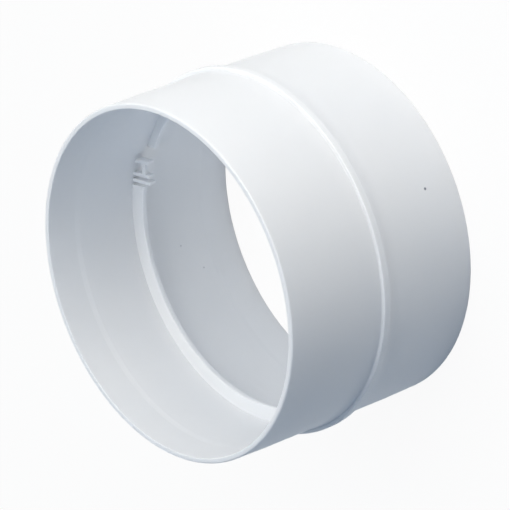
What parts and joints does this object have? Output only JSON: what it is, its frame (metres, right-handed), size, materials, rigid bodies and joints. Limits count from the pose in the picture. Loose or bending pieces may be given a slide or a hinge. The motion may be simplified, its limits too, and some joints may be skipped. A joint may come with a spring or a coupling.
{
  "type": "duct connector",
  "caption": "Round white plastic duct connector: a short tube with spigot ends, a stop bead round the middle, and inner seat ledges and hinge sockets for a backdraught flap.",
  "frame": {"origin": "centre of the rear rim, which the connector stands on", "axes": "+Z along the tube's axis from the rear rim to the front mouth, X along the hinge line of the flap's two sockets, +Y towards the side that the hinge line is on"},
  "size_m": [0.103, 0.103, 0.065],
  "materials": {
    "white_plastic": "satin white, injection moulded"
  },
  "bodies": {
    "root": {"connector_body": "white_plastic"}
  },
  "joints": []
}
